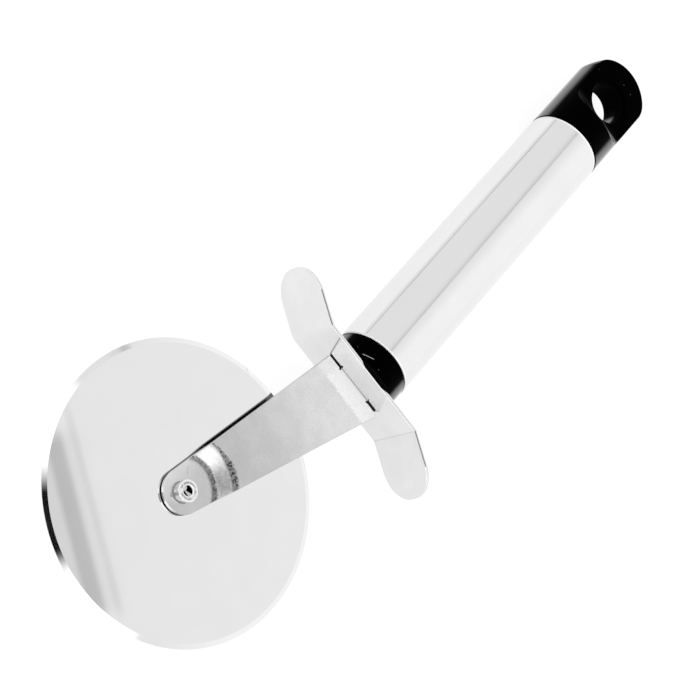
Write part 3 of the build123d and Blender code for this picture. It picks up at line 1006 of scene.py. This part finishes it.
# %% [markdown]
# ## Black plastic
#
# The plug and the cap are moulded in gloss black plastic. Dust shows on it as pale specks, most of
# them scattered and some at known places, and the plug carries one light scratch. The known places
# are measured from the middle of the plug's front and from the hang hole, so that they stay on their
# parts.

# %% Dust and the scratch on the plastic
mounts = {mount["name"]: mount for mount in frame["record"]["mounts"]}
hang_hole = Vector(mounts["hang_hole"]["pos_m"])
hole_radius = mounts["hang_hole"]["dims"]["r_mm"] * mm
plug_middle = Vector((handle_middle.x, plug_front, handle_middle.z))
rub_start = plug_middle + Vector((-6.95, 1.52, 8.59)) * mm
rub_end = plug_middle + Vector((-3.74, 2.38, 10.40)) * mm
rub_facing = Vector((-0.49, 0, 0.87))
dust_spots = (
    plug_middle + Vector((-8.49, 3.00, 7.07)) * mm,
    plug_middle + Vector((-1.26, 1.03, 10.98)) * mm,
    plug_middle + Vector((6.58, 3.27, 8.88)) * mm,
    hang_hole + Vector((-0.04, 8.57, 5.00)) * mm,
    hang_hole + Vector((3.39, 8.42, 5.00)) * mm,
)

plastic_finish, tree, shader, position = new_finish("black_gloss", 0.0)
sheet = place(tree, sheet_cloud, position, cloud_size=6 * mm, grain_size=0.4 * mm)
specks = place(tree, dust, position, spacing=4.5 * mm, speck_size=0.2 * mm, share=0.28)["Specks"]
rub = scratch(tree, position, rub_start, rub_end, rub_facing, 0.09 * mm)
rub = times(tree, rub, mix(tree, sheet["Grain"], 0.75, 1.0))
marks = calc(tree, "MAXIMUM", times(tree, specks, 0.08), rub)
for spot in dust_spots:
    off_spot = vector(tree, "LENGTH", vector(tree, "SUBTRACT", position, spot))
    marks = calc(tree, "MAXIMUM", marks, fade(tree, off_spot, 0.05 * mm, 0.2 * mm, 0.22, 0.0))
black = mix(tree, sheet["Cloud"], 0.0002, 0.0005)
feed(tree, shader.inputs["Base Color"], mix(tree, marks, black, 0.5))
print("plastic with", len(dust_spots), "placed specks, hang hole", 2 * hole_radius / mm, "mm across")

# %% [markdown]
# Seen square on, the plastic is black, and at a glancing angle it turns into a mirror. The shader's
# own gloss grows too slowly for that, so it is kept weak and a clear coat is laid over it where the
# surface turns away from the eye, which the Layer Weight node measures. The coat is missing where the
# mould left the surface dull: in most of the hang hole, on the rounded end of the recess left of it
# and on a narrow ring next to the tube.

# %% Clear coat of the plastic
lengthwise = along(tree, position, (0, 1, 0), handle_middle)
off_tube = calc(tree, "SUBTRACT", calc(tree, "ABSOLUTE", lengthwise), tube_half)
clear_of_tube = fade(tree, off_tube, 0.4 * mm, 0.7 * mm)
right_of_hole = along(tree, position, (1, 0, 0), hang_hole)
above_hole = along(tree, position, (0, 0, 1), hang_hole)
behind_hole = along(tree, position, (0, 1, 0), hang_hole)
off_hole = calc(tree, "SUBTRACT", from_line(tree, position, hang_hole), hole_radius)
bright_wall = fade(tree, right_of_hole, 0.7 * hole_radius, 0.9 * hole_radius)
bright_wall = times(tree, bright_wall, fade(tree, above_hole, -0.8 * mm, 1.2 * mm, 1.0, 0.0))
clear_of_hole = calc(tree, "MAXIMUM", fade(tree, off_hole, 0.02 * mm, 0.1 * mm), bright_wall)
recess_end = fade(tree, faces_to(tree, (0, 1, 0)), 0.05, 0.2)
recess_end = times(tree, recess_end, fade(tree, behind_hole, -1 * mm, 0.0, 1.0, 0.0))
recess_end = times(tree, recess_end, fade(tree, right_of_hole, -2 * mm, 2 * mm, 1.0, 0.0))
coat = fade(tree, add(tree, "LayerWeight").outputs["Facing"], 0.49, 0.61)
for coated in (clear_of_tube, clear_of_hole, invert(tree, recess_end)):
    coat = times(tree, coat, coated)
feed(tree, shader.inputs["Coat Weight"], coat)
glossy = mix(tree, marks, mix(tree, sheet["Grain"], 0.04, 0.09), 0.6)
feed(tree, shader.inputs["Roughness"], mix(tree, clear_of_hole, 0.6, glossy))
shader.inputs["IOR"].default_value = 1.06
shader.inputs["Specular Tint"].default_value = (0, 0, 0, 1)
shader.inputs["Coat Roughness"].default_value = 0.05
shader.inputs["Coat IOR"].default_value = 1.8
dress(plastic_finish, "front_plug", "end_cap")
